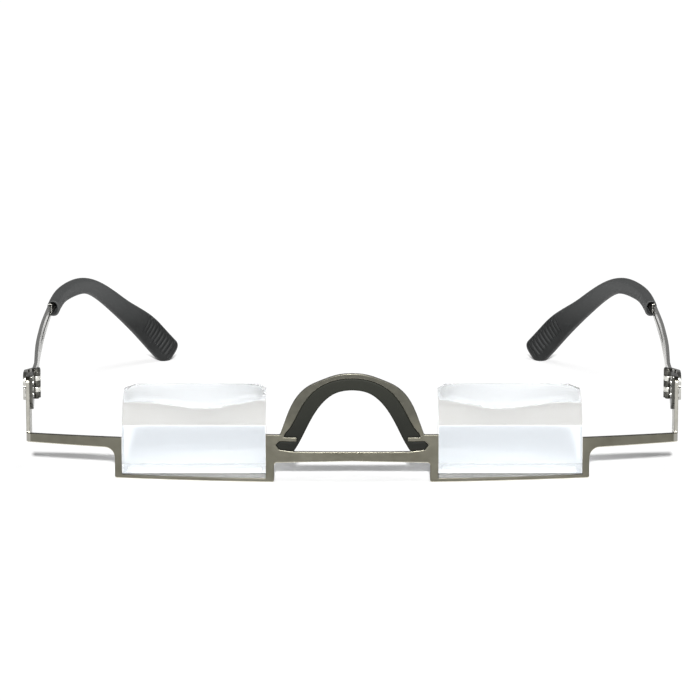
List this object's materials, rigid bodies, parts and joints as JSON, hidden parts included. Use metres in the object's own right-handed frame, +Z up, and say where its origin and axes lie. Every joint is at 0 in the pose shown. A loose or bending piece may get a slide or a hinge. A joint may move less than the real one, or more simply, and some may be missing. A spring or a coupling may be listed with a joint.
{
  "type": "prism bed glasses",
  "caption": "Glasses with clear glass prisms seated in a stamped steel front, an arched bridge lined with rubber, and folding steel temples with rubber ear tips",
  "frame": {"origin": "middle of the whole object's underside, with the temples open", "axes": "+Z up, +Y from the front back along the open temples, +X to the right as seen from in front"},
  "size_m": [0.1412, 0.1276, 0.0241],
  "materials": {
    "sheet_steel": "satin",
    "temple_steel": "satin",
    "hinge_steel": "satin",
    "rivet_steel": "satin",
    "screw_steel": "satin",
    "prism_glass": "gloss",
    "bond_film": "gloss",
    "pad_rubber": "matte",
    "tip_rubber": "satin"
  },
  "bodies": {
    "front": {"front_frame": "sheet_steel", "nose_pad": "pad_rubber", "left_prism": "prism_glass", "right_prism": "prism_glass", "left_prism_bond": "bond_film", "right_prism_bond": "bond_film", "left_front_leaf": "hinge_steel", "right_front_leaf": "hinge_steel", "left_front_rivets": "rivet_steel", "right_front_rivets": "rivet_steel", "left_hinge_screw": "screw_steel", "right_hinge_screw": "screw_steel"},
    "left_temple": {"left_temple_leaf": "hinge_steel", "left_temple_rivets": "rivet_steel", "left_temple_arm": "temple_steel", "left_ear_tip": "tip_rubber"},
    "right_temple": {"right_temple_leaf": "hinge_steel", "right_temple_rivets": "rivet_steel", "right_temple_arm": "temple_steel", "right_ear_tip": "tip_rubber"}
  },
  "joints": [
    {"name": "left_temple_fold", "type": "hinge", "parent": "front", "child": "left_temple", "pos_m": [-0.068, -0.04699, 0.01795], "axis": [0, 0, -1], "range_deg": [0, 74]},
    {"name": "right_temple_fold", "type": "hinge", "parent": "front", "child": "right_temple", "pos_m": [0.068, -0.04699, 0.01795], "axis": [0, 0, 1], "range_deg": [0, 66]}
  ]
}
